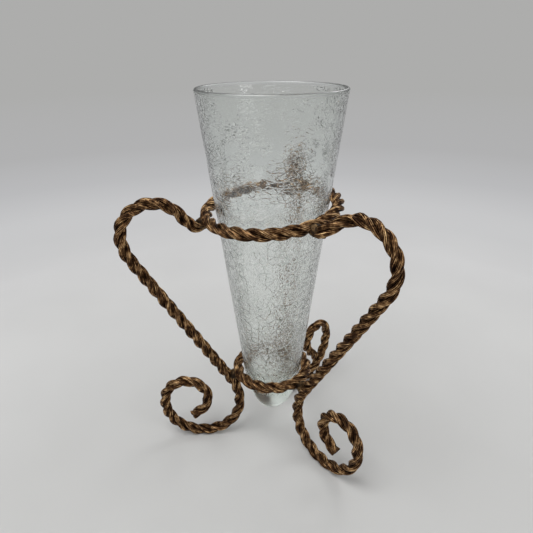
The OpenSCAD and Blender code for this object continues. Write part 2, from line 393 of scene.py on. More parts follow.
@dataclass
class LegRoute:
    """The route of one leg, from its top end down to the end of its scroll.

    Attributes:
        routes: The places that the legs share.
        leg: Which leg it is.
        lay_start: How far along the lay the top end lies.
        nudge_share: Share of the rope's width over which its direction is taken.
        pieces: The straights and bends.
        starts: Where each piece starts, and the end of the last.
        crossing_length: Length from the top end to the crossing at the lower ring.
    """

    routes: Routes
    leg: Leg
    lay_start: float = 0.0
    nudge_share: float = 0.02
    pieces: list[Piece] = field(init=False)
    starts: list[Start] = field(init=False)
    crossing_length: float = field(init=False)

    def __post_init__(self) -> None:
        """Solves the arch and the run, and lays the pieces end to end.

        The arch's radius and the run's length are what is left to choose between the crossing at the lower
        ring and the place of the top end. The shin's length brings the sole down to the table.
        """
        r, s, i = self.routes, self.routes.stand, self.leg.value
        slope = math.radians(s.run_slope)
        shoulder_end = slope + math.radians(s.shoulder_turn)
        arch_end = shoulder_end + math.radians(s.arch_turns[i])
        top_end = arch_end - math.radians(s.hook_turns[i])
        shoulder = bend(s.shoulder_r, s.shoulder_turn)
        lead = straight(s.lead_lengths[i])
        hook = bend(s.hook_r, -s.hook_turns[i])
        end = self._top_point(top_end)
        left_over = (end - r.crossing - along(shoulder, shoulder.length, slope)
                     - along(lead, lead.length, arch_end) - along(hook, hook.length, arch_end))
        ahead = heading_vector(slope)
        arch_turn = arch_end - shoulder_end
        arch_unit = along(Piece(arch_turn, arch_turn), arch_turn, shoulder_end)
        arch_r = cross_flat(ahead, left_over) / cross_flat(ahead, arch_unit)
        run = left_over.dot(ahead) - arch_r * arch_unit.dot(ahead)
        knee = bend(s.knee_r, s.knee_turn)
        heel = bend(s.heel_r, 180 - s.run_slope - s.knee_turn)
        fall = (along(knee, knee.length, slope + math.pi)
                + along(heel, heel.length, slope + math.pi + knee.turn))
        sole_h = r.rope.rope_d / 2 - r.rope.rope_d * s.sole_cut
        shin = (r.crossing.y + fall.y - sole_h) / math.sin(slope)
        above = [bend(s.hook_r, s.hook_turns[i]), lead, bend(arch_r, -s.arch_turns[i]),
                 bend(s.shoulder_r, -s.shoulder_turn), straight(run)]
        below = [straight(shin), knee, heel, bend(s.sole_radii[i], s.sole_turns[i]),
                 bend(s.scroll_radii[i], s.scroll_turns[i]), straight(s.scroll_tails[i])]
        self.pieces = above + below
        self.crossing_length = sum(piece.length for piece in above)
        self.starts = [Start(0.0, end, top_end + math.pi)]
        for piece in self.pieces:
            last = self.starts[-1]
            self.starts.append(Start(last.length + piece.length,
                                     last.point + along(piece, piece.length, last.heading),
                                     last.heading + piece.turn))

    def _top_point(self, heading: float) -> Vector:
        """Where the top end lies: a hooked end butts on the ring, others lie under or beside it.

        Args:
            heading: The leg's heading there, followed upward, in radians.

        Returns:
            The end's distance from the axis and height.
        """
        r, s, i = self.routes, self.routes.stand, self.leg.value
        ring = Vector((r.upper_ring_r, r.upper_ring_at(s.leg_dirs[i])))
        ahead = heading_vector(heading)
        if s.hook_turns[i] > 0:
            return ring - (r.rope.rope_d / 2 + s.braze_gap) * ahead
        beside = heading_vector(heading - math.pi / 2 + math.radians(s.end_swings[i]))
        return ring - (r.rope.rope_d + s.braze_gap) * beside + s.end_overlaps[i] * ahead

    @property
    def length(self) -> float:
        """Length of the whole leg."""
        return self.starts[-1].length

    def sweep(self, s: float) -> float:
        """How far round the ring the leg is swept at length s, in degrees."""
        stand = self.routes.stand
        return stand.end_sweeps[self.leg.value] * ease(1 - s / stand.sweep_length)

    def foot_turn(self, s: float) -> float:
        """How far the foot is turned about the crossing at length s, in degrees."""
        stand = self.routes.stand
        return stand.foot_turns[self.leg.value] * ease((s - self.crossing_length) / stand.turn_length)

    def point(self, s: float) -> Vector:
        """Where the leg's middle line is.

        Args:
            s: The length from the top end.

        Returns:
            The point in space.
        """
        i = 0
        while i < len(self.pieces) - 1 and s >= self.starts[i + 1].length:
            i += 1
        start = self.starts[i]
        flat = start.point + along(self.pieces[i], s - start.length, start.heading)
        crossing = self.routes.crossing
        direction = self.routes.stand.leg_dirs[self.leg.value]
        swept = direction + self.sweep(s)
        rise = self.routes.upper_ring_at(swept) - self.routes.upper_ring_at(direction)
        return (round_z(crossing.x, swept, flat.y + rise)
                + round_z(flat.x - crossing.x, swept + self.foot_turn(s), 0.0))

    def stations(self, step: float) -> list[Station]:
        """Stations along the leg.

        Args:
            step: Longest distance between stations.

        Returns:
            The stations, from the top end to the end of the scroll.
        """
        count = math.ceil(self.length / step)
        nudge = self.routes.rope.rope_d * self.nudge_share
        direction = self.routes.stand.leg_dirs[self.leg.value]
        result = []
        for k in range(count + 1):
            s = self.length * k / count
            side = direction + self.sweep(s) + self.foot_turn(s) + 90
            ahead = self.point(s + nudge) - self.point(s - nudge)
            turn = math.tau * (s + self.lay_start) / self.routes.rope.lay_length
            result.append(station(self.point(s), ahead, round_z(1.0, side, 0.0), turn))
        return result


# Materials


class Step(NamedTuple):
    """A smooth step: where it begins and ends, and what it gives below and above."""

    begin: float
    end: float
    below: float = 0.0
    above: float = 1.0


class Cracks(NamedTuple):
    """A kind of crack in the glass.

    Attributes:
        scale: How many cells there are to a metre.
        stretch: How flat the cells are, less than 1 being tall.
        width: The crack's width as a share of a cell.
        depth: How deep it is everywhere.
        more: How much deeper it is where its mask is 1.
        patch_scale: How fine its patches are.
        patch: What part of a noise is a patch, or None for a crack that is everywhere.
    """

    scale: float
    stretch: float
    width: float
    depth: float
    more: float
    patch_scale: float = 0.0
    patch: Step | None = None


@dataclass(frozen=True)
class WearTextures:
    """How fine the rubbed metal's streaks, patches and grain are."""

    wire_scale: Triple = (2.4, 0.17, 1.0)
    patch_scale: float = 260.0
    grain_scale: float = 1500.0
    grain_weight: float = 0.2
    roughness: float = 0.6
    spread: Step = Step(0.32, 0.68, -0.3, 0.7)


@dataclass(frozen=True)
class CrackleSkin:
    """The glass's cracked skin, with heights and reaches in metres.

    Attributes:
        level, tall, even, long, small: The kinds of crack.
        fleck_scale, fleck: Where cracks catch the light instead of being dark.
        glint: How strongly they catch it.
        warp_scale, warp: How finely and how far the cells are bent.
        cell_scale, cell_tilt: The slightly tilted facets of the lower part.
        upper, near_rim: Where the upper part and the part near the rim begin.
        above_tip, below_rim: Where the cracks begin and where they end.
        calm_way, calm_reach, calm_height: The calmer field at the front of the upper part.
        soft_rim, soft_tip: Where the skin is a little rough.
        rim_glint: Where the rim catches the light.
    """

    level: Cracks = Cracks(230.0, 2.2, 0.15, 0.45, 0.5, 95.0, Step(0.44, 0.55))
    tall: Cracks = Cracks(330.0, 0.18, 0.15, 0.12, 0.45, 120.0, Step(0.45, 0.60))
    even: Cracks = Cracks(235.0, 0.7, 0.10, 0.15, 0.7, 60.0, Step(0.37, 0.53))
    long: Cracks = Cracks(62.0, 0.55, 0.035, 0.25, 0.65, 42.0, Step(0.46, 0.56))
    small: Cracks = Cracks(480.0, 0.85, 0.22, 0.05, 0.30)
    fleck_scale: float = 430.0
    fleck: Step = Step(0.46, 0.56)
    glint: float = 2.4
    warp_scale: float = 130.0
    warp: float = 0.0035
    cell_scale: float = 250.0
    cell_tilt: float = 0.9
    upper: Step = Step(0.165, 0.205)
    near_rim: Step = Step(0.226, 0.244)
    above_tip: Step = Step(0.038, 0.062)
    below_rim: Step = Step(0.2532, 0.2500)
    calm_way: Triple = (0.27, -0.96, 0.0)
    calm_reach: Step = Step(0.014, 0.034, 0.0, 0.6)
    calm_height: Step = Step(0.17, 0.19)
    soft_rim: Step = Step(0.2510, 0.2528)
    soft_tip: Step = Step(0.046, 0.032, 0.0, 0.8)
    rim_glint: Step = Step(0.2532, 0.2538, 0.0, 0.6)


@dataclass(frozen=True)
class GoldFinish:
    """Antique gold over dark metal, rubbed bright on the ridges, with painted shade in the grooves and
    toward the rope's heart and a painted highlight at its brightest.
    """

    name: str
    stops: tuple[tuple[float, Colour], ...]
    metallic: float
    specular: float
    rough_dark: float
    rough_bright: float
    base_level: float
    ridge_weight: float
    outward_weight: float
    streak_weight: float
    patch_weight: float
    rub_begin: float = 0.3
    rub_end: float = 0.85
    grain_strength: float = 0.4
    grain_depth: float = 0.0003


@dataclass(frozen=True)
class GlassFinish:
    """Clear glass with a cracked skin, whose cracks are tinted darker as painted shade."""

    name: str
    tint: Colour
    upper_tint: Colour
    crack_shade_tint: Colour
    ior: float
    crack_roughness: float
    crack_ior: float
    soft_roughness: float
    absorption: Colour
    density: float
    relief: float
    crack_begin: float = 0.2
    crack_end: float = 0.7


# The rope's ramp: the darkest stops are painted shade in the wires' grooves and between the strands, the
# brightest stop a painted highlight on the rubbed crowns.
ROPE_FINISH = GoldFinish(
    name="antique_gold_wire",
    stops=((0.0, (0.003, 0.0010, 0.0003)), (0.34, (0.009, 0.0030, 0.0010)),
           (0.53, (0.049, 0.021, 0.0088)), (0.70, (0.155, 0.080, 0.034)),
           (0.85, (0.46, 0.262, 0.118)), (1.0, (0.93, 0.64, 0.32))),
    metallic=0.5, specular=0.08, rough_dark=0.66, rough_bright=0.36, base_level=-0.05,
    ridge_weight=0.50, outward_weight=0.15, streak_weight=0.50, patch_weight=0.30)

BRAZE_FINISH = GoldFinish(
    name="braze_brass",
    stops=((0.0, (0.008, 0.004, 0.0016)), (0.35, (0.034, 0.018, 0.007)),
           (0.65, (0.13, 0.075, 0.030)), (1.0, (0.46, 0.32, 0.14))),
    metallic=0.55, specular=0.3, rough_dark=0.6, rough_bright=0.42, base_level=0.10,
    ridge_weight=0.40, outward_weight=0.0, streak_weight=0.0, patch_weight=0.55)

# crack_shade_tint is painted shade: the darkness that refraction gives the cracks, put into the glass's
# colour.
GLASS_FINISH = GlassFinish(
    name="crackle_glass", tint=(0.982, 0.992, 0.982), upper_tint=(0.963, 0.967, 0.962),
    crack_shade_tint=(0.64, 0.69, 0.65), ior=1.5, crack_roughness=0.36, crack_ior=2.6, soft_roughness=0.35,
    absorption=(0.45, 0.74, 0.54), density=8.0, relief=0.00024)


class Nodes:
    """A short way to write a node tree: makes nodes, sets their sockets and joins them."""

    def __init__(self, tree: bpy.types.NodeTree) -> None:
        """Keeps the tree that the nodes are made in."""
        self.tree = tree

    @classmethod
    def fresh(cls, owner: bpy.types.Material | bpy.types.World) -> Nodes:
        """Empties the node tree of a material or a world.

        Args:
            owner: The material or world.

        Returns:
            The writer of its nodes.
        """
        owner.use_nodes = True
        owner.node_tree.nodes.clear()
        return cls(owner.node_tree)

    def add(self, kind: str, settings: dict | None = None, **inputs: object) -> bpy.types.Node:
        """Makes a node.

        Args:
            kind: The node's type name, without "ShaderNode" for shader nodes.
            settings: Attributes of the node.
            **inputs: Values or sockets by input name, with _ for a space, or _N for input N.

        Returns:
            The new node.
        """
        name = kind if kind.startswith("Node") else f"ShaderNode{kind}"
        node = self.tree.nodes.new(name)
        for key, value in (settings or {}).items():
            setattr(node, key, value)
        for key, value in inputs.items():
            socket = node.inputs[int(key[1:])] if key[1:].isdigit() else node.inputs[key.replace("_", " ")]
            self.put(socket, value)
        return node

    def put(self, socket: bpy.types.NodeSocket, value: object) -> None:
        """Gives a socket a value, or joins another socket to it.

        Args:
            socket: The socket to set.
            value: A number, a colour or vector, a group or another node's socket.
        """
        if isinstance(value, bpy.types.NodeSocket):
            self.tree.links.new(value, socket)
        elif isinstance(value, tuple) and len(value) == 3 and socket.type == "RGBA":
            socket.default_value = (*value, 1.0)
        else:
            socket.default_value = value

    def math(self, operation: str, a: object, b: object = 0.0, clamp: bool = False) -> bpy.types.NodeSocket:
        """A Math node's result."""
        return self.add("Math", {"operation": operation, "use_clamp": clamp}, _0=a, _1=b).outputs[0]

    def product(self, first: object, *others: object) -> bpy.types.NodeSocket:
        """The product of several values."""
        return reduce(partial(self.math, "MULTIPLY"), others, first)

    def largest(self, first: object, *others: object) -> bpy.types.NodeSocket:
        """The largest of several values."""
        return reduce(partial(self.math, "MAXIMUM"), others, first)

    def rest(self, value: object) -> bpy.types.NodeSocket:
        """What a value leaves of 1."""
        return self.math("SUBTRACT", 1.0, value)

    def vector(self, operation: str, *values: object, output: str = "Vector",
               **named: object) -> bpy.types.NodeSocket:
        """A Vector Math node's result.

        Args:
            operation: What it does.
            *values: Its inputs in order.
            output: Which of its outputs is wanted.
            **named: Further inputs by name.

        Returns:
            That output.
        """
        inputs = {f"_{i}": value for i, value in enumerate(values)}
        return self.add("VectorMath", {"operation": operation}, **inputs, **named).outputs[output]

    def attribute(self, name: str) -> bpy.types.NodeSocket:
        """A vertex attribute's value."""
        return self.add("Attribute", {"attribute_name": name}).outputs["Fac"]

    def noise(self, places: object, scale: float, detail: float,
              roughness: float = 0.5) -> bpy.types.NodeSocket:
        """A noise texture's value.

        Args:
            places: Where it is read.
            scale: How fine it is.
            detail: How many finer layers it has.
            roughness: How strong those are.

        Returns:
            The value, from about 0.2 to 0.8.
        """
        node = self.add("TexNoise", None, Vector=places, Scale=scale, Detail=detail, Roughness=roughness)
        return node.outputs["Fac"]

    def ramp(self, value: object, stops: Sequence[tuple[float, Colour]]) -> bpy.types.NodeSocket:
        """A colour ramp's colour.

        Args:
            value: What drives the ramp.
            stops: The places and colours of its stops.

        Returns:
            The colour output.
        """
        node = self.add("ValToRGB", None, Fac=value)
        ramp = node.color_ramp
        while len(ramp.elements) < len(stops):
            ramp.elements.new(0.5)
        for element, (place, colour) in zip(ramp.elements, stops):
            element.position = place
            element.color = (*colour, 1.0)
        return node.outputs["Color"]

    def smooth(self, value: object, step: Step) -> bpy.types.NodeSocket:
        """A smooth Map Range node's result.

        Args:
            value: What drives it.
            step: Where it begins and ends, and what it gives.

        Returns:
            The result output.
        """
        node = self.add("MapRange", {"interpolation_type": "SMOOTHSTEP"}, Value=value)
        for name, number in zip(("From Min", "From Max", "To Min", "To Max"), step):
            node.inputs[name].default_value = number
        return node.outputs["Result"]


class Materials:
    """Makes the materials, with node groups that they share."""

    def __init__(self) -> None:
        """Makes the shared groups."""
        self.wear_and_shade_group = self._wear_and_shade_group(WearTextures())
        self.crackle_group = self._crackle_group(CrackleSkin())

    @staticmethod
    def _group(name: str, inputs: Sequence[str],
               outputs: Sequence[str]) -> tuple[Nodes, dict, bpy.types.Node]:
        """Makes an empty node group.

        Args:
            name: The group's name.
            inputs: Names of its number inputs.
            outputs: Names of its number outputs.

        Returns:
            The writer of its nodes, its inputs by name and its output node.
        """
        tree = bpy.data.node_groups.new(name, "ShaderNodeTree")
        for in_out, labels in (("INPUT", inputs), ("OUTPUT", outputs)):
            for label in labels:
                tree.interface.new_socket(name=label, in_out=in_out, socket_type="NodeSocketFloat")
        nodes = Nodes(tree)
        entry = nodes.add("NodeGroupInput")
        leave = nodes.add("NodeGroupOutput")
        return nodes, {s.name: s for s in entry.outputs if s.name}, leave

    def _wear_and_shade_group(self, textures: WearTextures) -> bpy.types.NodeTree:
        """How bright the gold is rubbed, from ridges, streaks along the wires and patches, with painted
        shade: darker in the wires' grooves and on the strands' sides toward the rope's heart.

        Args:
            textures: How fine these are.

        Returns:
            The group, which puts out the rubbed gold with its painted shade, and the grain.
        """
        n, given, leave = self._group(
            "rubbed_wear_and_painted_shade", ("Base", "Ridge Weight", "Outward Weight", "Streak Weight", "Patch Weight"),
            ("Wear And Shade", "Grain"))
        places = n.add("TexCoord").outputs
        wires = n.add("Mapping", None, Vector=places["UV"])
        wires.inputs["Scale"].default_value = textures.wire_scale
        streak = n.noise(wires.outputs["Vector"], 1.0, 3.0, textures.roughness)
        patch = n.noise(places["Object"], textures.patch_scale, 2.5, textures.roughness)
        grain = n.noise(places["Object"], textures.grain_scale, 3.0, textures.roughness)
        total = given["Base"]
        # ridge and outward make the grooves and the strands' inner sides darker: rubbed gold on the crowns
        # and painted shade in the hollows.
        for value, weight in ((n.attribute("ridge"), "Ridge Weight"),
                              (n.attribute("outward"), "Outward Weight"),
                              (n.smooth(streak, textures.spread), "Streak Weight"),
                              (n.smooth(patch, textures.spread), "Patch Weight")):
            total = n.math("ADD", total, n.product(value, given[weight]))
        fine = n.product(n.math("SUBTRACT", grain, 0.5), textures.grain_weight)
        n.put(leave.inputs["Wear And Shade"], n.math("ADD", total, fine, clamp=True))
        n.put(leave.inputs["Grain"], grain)
        return n.tree

    def _crackle_group(self, skin: CrackleSkin) -> bpy.types.NodeTree:
        """Relief and cracks of the glass's outer skin: fine and even below, level and tall ones above.

        Args:
            skin: The kinds of crack, and where the skin changes.

        Returns:
            The group, which puts out the relief, the cracks darkened as painted shade, those that catch the
            light, and masks of the upper part and of the soft rim and tip.
        """
        n, _, leave = self._group("crackle", (), ("Relief", "Dark", "Bright", "Upper", "Soft"))
        places = n.add("TexCoord").outputs["Object"]
        height = n.add("SeparateXYZ", None, Vector=places).outputs["Z"]
        warp = n.add("TexNoise", None, Vector=places, Scale=skin.warp_scale, Detail=2.0, Roughness=0.5)
        moved = n.vector("MULTIPLY_ADD", n.vector("SUBTRACT", warp.outputs["Color"], GREY_MIDDLE),
                         (skin.warp,) * 3, places)

        def cracks(kind: Cracks, mask: object) -> bpy.types.NodeSocket:
            """Straight-sided cracks between cells.

            Args:
                kind: Their cells, width, depth and patches.
                mask: Where they are deeper.

            Returns:
                Their depth on the crack, and 0 a width away from it.
            """
            mapping = n.add("Mapping", None, Vector=moved)
            mapping.inputs["Scale"].default_value = (1.0, 1.0, kind.stretch)
            edge = n.add("TexVoronoi", {"feature": "DISTANCE_TO_EDGE"}, Vector=mapping.outputs["Vector"],
                         Scale=kind.scale)
            crack = n.rest(n.math("DIVIDE", edge.outputs["Distance"], kind.width, clamp=True))
            if kind.patch:
                crack = n.product(crack, n.smooth(n.noise(places, kind.patch_scale, 1.0), kind.patch))
            return n.product(crack, n.math("ADD", kind.depth, n.product(mask, kind.more)))

        upward = n.smooth(height, skin.upper)
        lower = n.rest(upward)
        level, tall = cracks(skin.level, upward), cracks(skin.tall, n.smooth(height, skin.near_rim))
        even, long, small = (cracks(kind, lower) for kind in (skin.even, skin.long, skin.small))
        flecks = n.smooth(n.noise(places, skin.fleck_scale, 1.0), skin.fleck)
        ahead = n.vector("DOT_PRODUCT", places, skin.calm_way, output="Value")
        calm = n.product(n.smooth(ahead, skin.calm_reach), n.smooth(height, skin.calm_height))
        alive = n.product(n.smooth(height, skin.above_tip), n.smooth(height, skin.below_rim),
                          n.attribute("skin"), n.rest(calm))
        cells = n.add("TexVoronoi", {"feature": "F1"}, Vector=moved, Scale=skin.cell_scale).outputs
        local = n.vector("SUBTRACT", n.vector("SCALE", moved, Scale=skin.cell_scale), cells["Position"])
        tilt = n.vector("DOT_PRODUCT", n.vector("SUBTRACT", cells["Color"], GREY_MIDDLE), local,
                        output="Value")
        swell = n.product(tilt, skin.cell_tilt, alive, lower)
        crack = n.product(n.largest(even, tall, small, level, long), alive)
        # Dark cracks: painted shade where the cracks do not catch the light.
        dark = n.product(n.largest(small, even, long), n.rest(flecks), alive)
        bright = n.product(n.largest(level, even, small), flecks, skin.glint, alive)
        for name, value in (
                ("Relief", n.math("SUBTRACT", swell, crack)),
                ("Dark", dark),
                ("Bright", n.math("MAXIMUM", bright, n.smooth(height, skin.rim_glint), clamp=True)),
                ("Upper", upward),
                ("Soft", n.largest(n.smooth(height, skin.soft_rim), n.smooth(height, skin.soft_tip)))):
            n.put(leave.inputs[name], value)
        return n.tree

    def gold(self, finish: GoldFinish) -> bpy.types.Material:
        """Makes a rubbed metal material, its colour holding painted shade in the grooves and a painted
        highlight at the top of its ramp.

        Args:
            finish: Its colours and weights.

        Returns:
            The material.
        """
        material, n, shader = self._principled(finish.name)
        wear_and_shade = n.add("Group", {"node_tree": self.wear_and_shade_group}, Base=finish.base_level,
                     Ridge_Weight=finish.ridge_weight, Outward_Weight=finish.outward_weight,
                     Streak_Weight=finish.streak_weight, Patch_Weight=finish.patch_weight)
        # Base colour: rubbed gold, with painted shade in the grooves and a painted highlight at the ramp's
        # brightest stop.
        n.put(shader.inputs["Base Color"], n.ramp(wear_and_shade.outputs["Wear And Shade"], finish.stops))
        shader.inputs["Metallic"].default_value = finish.metallic
        shader.inputs["Specular IOR Level"].default_value = finish.specular
        rub = Step(finish.rub_begin, finish.rub_end, finish.rough_dark, finish.rough_bright)
        n.put(shader.inputs["Roughness"], n.smooth(wear_and_shade.outputs["Wear And Shade"], rub))
        bump = n.add("Bump", None, Height=wear_and_shade.outputs["Grain"], Strength=finish.grain_strength,
                     Distance=finish.grain_depth)
        n.put(shader.inputs["Normal"], bump.outputs["Normal"])
        return material

    def glass(self, finish: GlassFinish) -> bpy.types.Material:
        """Makes the crackle glass.

        Args:
            finish: Its tint, its cracks and what it absorbs.

        Returns:
            The material.
        """
        material, n, shader = self._principled(finish.name)
        crackle = n.add("Group", {"node_tree": self.crackle_group})
        # The cracks' darker tint is painted shade.
        cracked = n.ramp(crackle.outputs["Dark"],
                         ((finish.crack_begin, finish.tint), (finish.crack_end, finish.crack_shade_tint)))
        above = n.ramp(crackle.outputs["Upper"], ((0.0, (1.0, 1.0, 1.0)), (1.0, finish.upper_tint)))
        n.put(shader.inputs["Base Color"], n.vector("MULTIPLY", cracked, above))
        shader.inputs["Transmission Weight"].default_value = 1.0
        shader.inputs["IOR"].default_value = finish.ior
        n.put(shader.inputs["Roughness"], n.product(crackle.outputs["Soft"], finish.soft_roughness))
        n.put(shader.inputs["Coat Weight"], crackle.outputs["Bright"])
        shader.inputs["Coat Roughness"].default_value = finish.crack_roughness
        shader.inputs["Coat IOR"].default_value = finish.crack_ior
        bump = n.add("Bump", None, Height=crackle.outputs["Relief"], Strength=1.0, Distance=finish.relief)
        n.put(shader.inputs["Normal"], bump.outputs["Normal"])
        volume = n.add("VolumeAbsorption", None, Color=finish.absorption, Density=finish.density)
        leave = next(node for node in material.node_tree.nodes if node.type == "OUTPUT_MATERIAL")
        n.put(leave.inputs["Volume"], volume.outputs["Volume"])
        return material

    @staticmethod
    def _principled(name: str) -> tuple[bpy.types.Material, Nodes, bpy.types.Node]:
        """Makes a material with a Principled shader joined to its output.

        Args:
            name: The material's name.

        Returns:
            The material, the writer of its nodes and the shader.
        """
        material = bpy.data.materials.new(name)
        n = Nodes.fresh(material)
        shader = n.add("BsdfPrincipled")
        n.add("OutputMaterial", None, Surface=shader.outputs["BSDF"])
        return material, n, shader


# Pieces


def finish_mesh(name: str, bm: bmesh.types.BMesh, material: bpy.types.Material) -> bpy.types.Object:
    """Turns a bmesh into an object with smooth faces that point outward.

    Args:
        name: The piece's name.
        bm: The bmesh, which is freed.
        material: The piece's material.

    Returns:
        The new object.
    """
    bmesh.ops.recalc_face_normals(bm, faces=bm.faces)
    mesh = bpy.data.meshes.new(name)
    bm.to_mesh(mesh)
    bm.free()
    mesh.materials.append(material)
    mesh.shade_smooth()
    piece = bpy.data.objects.new(name, mesh)
    bpy.context.scene.collection.objects.link(piece)
    return piece


def place_on(piece: bpy.types.Object, node: str, body: str) -> None:
    """Puts a piece in place of a CAD node.

    Args:
        piece: The finished piece.
        node: The CAD node that it replaces.
        body: The body that it rides on.
    """
    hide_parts(node)
    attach(piece, body)


@dataclass(frozen=True)
class StrandBuilder:
    """Builds strands of rope as bundles of wires.

    Attributes:
        rope: The rope's sizes.
        wires: Wires in a strand.
        sides_per_wire: Points of the section on each wire.
        wire_width: Width of a wire, 1 being that of wires that just touch.
        unlay: Turns of the wires in a strand for each turn of the strand, less than zero being back.
        step: Longest distance between sections.
        slimness: Width of the strand on the rope's outside, as a share of the solid's.
        fullness: What that share gains toward the rope's heart.
        waviness: Largest share by which the whole strand is thinner in places.
        wire_ups: Largest share by which a single wire lies lower in places.
        frayed: How far the wires' cut ends are uneven.
        wire_pace, wire_apart: How fast a wire's unevenness changes, and how far apart two wires' are.
        swell_pace, swell_from: How fast the strand's width changes, and where in the noise it starts.
        seed_apart: How far apart two strands' unevennesses are.
        fray_from, fray_level: Where in the noise the frayed ends lie, and how far back they are cut.
        ridge_change: How much more or less an uneven wire is rubbed.
        uv_apart: How far apart two strands' places on the streaks are.
    """

    rope: RopeSizes
    wires: int = 10
    sides_per_wire: int = 5
    wire_width: float = 1.05
    unlay: float = -0.3
    step: float = 0.8
    slimness: float = 0.99
    fullness: float = 0.12
    waviness: float = 0.05
    wire_ups: float = 0.10
    frayed: float = 0.5
    wire_pace: float = 0.9
    wire_apart: float = 3.3
    seed_apart: float = 7.3
    swell_pace: float = 0.5
    swell_from: Triple = (31.0, 5.0, 0.0)
    fray_from: tuple[float, float] = (5.1, 3.7)
    fray_level: float = 0.6
    ridge_change: float = 0.35
    uv_apart: float = 13.7

    @property
    def sides(self) -> int:
        """Sides of a strand's section."""
        return self.wires * self.sides_per_wire

    def outline(self, phi: float) -> tuple[float, float]:
        """The strand's outline at an angle from a wire's crown.

        Args:
            phi: The angle in radians.

        Returns:
            The radius as a share of the largest, and 0 in a groove to 1 on a crown.
        """
        half = math.pi / self.wires
        delta = (phi + half) % (2 * half) - half
        centre = 1 / (1 + self.wire_width * math.sin(half))
        wire = 1 - centre

        def reach(angle: float) -> float:
            """How far out the wire reaches at an angle from its crown."""
            side = centre * math.sin(angle)
            return centre * math.cos(angle) + math.sqrt(max(0.0, wire ** 2 - side ** 2))

        groove = reach(half)
        return reach(delta), (reach(delta) - groove) / (1 - groove)

    def build(self, name: str, stations: Sequence[Station], number: int, closed: bool,
              material: bpy.types.Material, seed: int) -> bpy.types.Object:
        """Builds one strand: a grid, wound round the strand's centre line and merged at its seams.

        Args:
            name: The piece's name.
            stations: The rope's stations.
            number: Which of the rope's strands it is, from 1.
            closed: Whether the last station lies on the first.
            material: The strand's material.
            seed: What makes its unevenness its own.

        Returns:
            The new object.
        """
        spans = len(stations) - 1
        bm = bmesh.new()
        uv_layer = bm.loops.layers.uv.new("UVMap")
        ridge_layer = bm.verts.layers.float.new("ridge")
        outward_layer = bm.verts.layers.float.new("outward")
        bmesh.ops.create_grid(bm, x_segments=self.sides, y_segments=spans, size=0.5, calc_uvs=True)
        turns = round(stations[-1].turn / math.tau)
        shift = round(self.unlay * turns * self.wires) if closed else 0
        unlay = shift / (turns * self.wires) if closed else self.unlay
        for vert in bm.verts:
            j = round((vert.co.x + 0.5) * self.sides)
            k = round((vert.co.y + 0.5) * spans)
            place = stations[k]
            out = place.turn + math.tau * (number - 1) / self.rope.strands
            phi = math.tau * j / self.sides
            a = phi + unlay * place.turn
            share, ridge = self.outline(phi)
            wire = math.floor(phi / math.tau * self.wires + 0.5) % self.wires
            inward = 0.5 - 0.5 * math.cos(a)
            there = self._unrolled(place, turns, closed)
            uneven = self._unevenness(there, wire, seed)
            uneven += (self._unevenness(there, wire + shift, seed) - uneven) * k / spans
            radius = share * self._reach(inward, uneven, self._swell(there, seed))
            heart = place.centre + self.rope.lay_r * self._toward(place, out)
            point = heart + radius * self._toward(place, out + a)
            if not closed and k in (0, spans):
                point += place.ahead * self._fray(wire, seed, k)
            point.z = max(0.0, point.z)
            vert.co = point * MM
            # ridge and outward colour the wires: rubbed crowns, and painted shade in the grooves and on the
            # sides toward the rope's heart.
            vert[ridge_layer] = max(0.0, min(1.0, ridge + self.ridge_change * uneven))
            vert[outward_layer] = 1 - inward
        for loop in (loop for face in bm.faces for loop in face.loops):
            u, v = loop[uv_layer].uv
            loop[uv_layer].uv = (u * self.wires + seed * self.uv_apart, v * spans * self.step)
        bmesh.ops.remove_doubles(bm, verts=bm.verts, dist=MERGE)
        if not closed:
            self._close_ends(bm)
        return finish_mesh(name, bm, material)

    def _reach(self, inward: float, uneven: float, swell: float) -> float:
        """How far the wires' crowns are from the strand's centre.

        Args:
            inward: 0 on the rope's outside to 1 at its heart.
            uneven: The wire's unevenness.
            swell: How much thinner the strand is.

        Returns:
            The distance in millimetres.
        """
        full = self.rope.strand_d / 2 * (self.slimness + self.fullness * inward)
        return full * (1 - self.wire_ups * max(0.0, uneven)) * (1 - self.waviness * max(0.0, swell))

    def _fray(self, wire: int, seed: int, section: int) -> float:
        """How far a wire's cut end is pushed along the rope.

        Args:
            wire: The wire.
            seed: What makes the strand's unevenness its own.
            section: The strand's first or last section.

        Returns:
            The distance in millimetres.
        """
        wire_from, seed_from = self.fray_from
        end = Vector((wire * wire_from, seed * seed_from, section))
        push = self.frayed * (noise.noise(end) - self.fray_level)
        return push if section else -push

    def _unevenness(self, there: Vector, wire: int, seed: int) -> float:
        """How uneven a wire is at a place for noise, from about -1 to 1."""
        apart = Vector((0.0, wire % self.wires * self.wire_apart, seed * self.seed_apart))
        return noise.noise(there * self.wire_pace + apart)

    def _swell(self, there: Vector, seed: int) -> float:
        """How much thinner the strand is at a place for noise, from about -1 to 1."""
        apart = Vector(self.swell_from) + Vector((0.0, 0.0, seed * self.seed_apart))
        return noise.noise(there * self.swell_pace + apart)

    @staticmethod
    def _toward(place: Station, angle: float) -> Vector:
        """The unit vector across the rope at an angle in radians."""
        return math.cos(angle) * place.across + math.sin(angle) * place.second

    @staticmethod
    def _unrolled(place: Station, turns: int, closed: bool) -> Vector:
        """A place for noise that runs along the rope, and that meets itself round a ring.

        Args:
            place: The station.
            turns: How often the strands turn round the whole rope.
            closed: Whether the rope is a ring.

        Returns:
            The place.
        """
        if not closed:
            return Vector((place.turn, 0.0, 0.0))
        a = place.turn / turns
        return Vector((turns * math.cos(a), 0.0, turns * math.sin(a)))

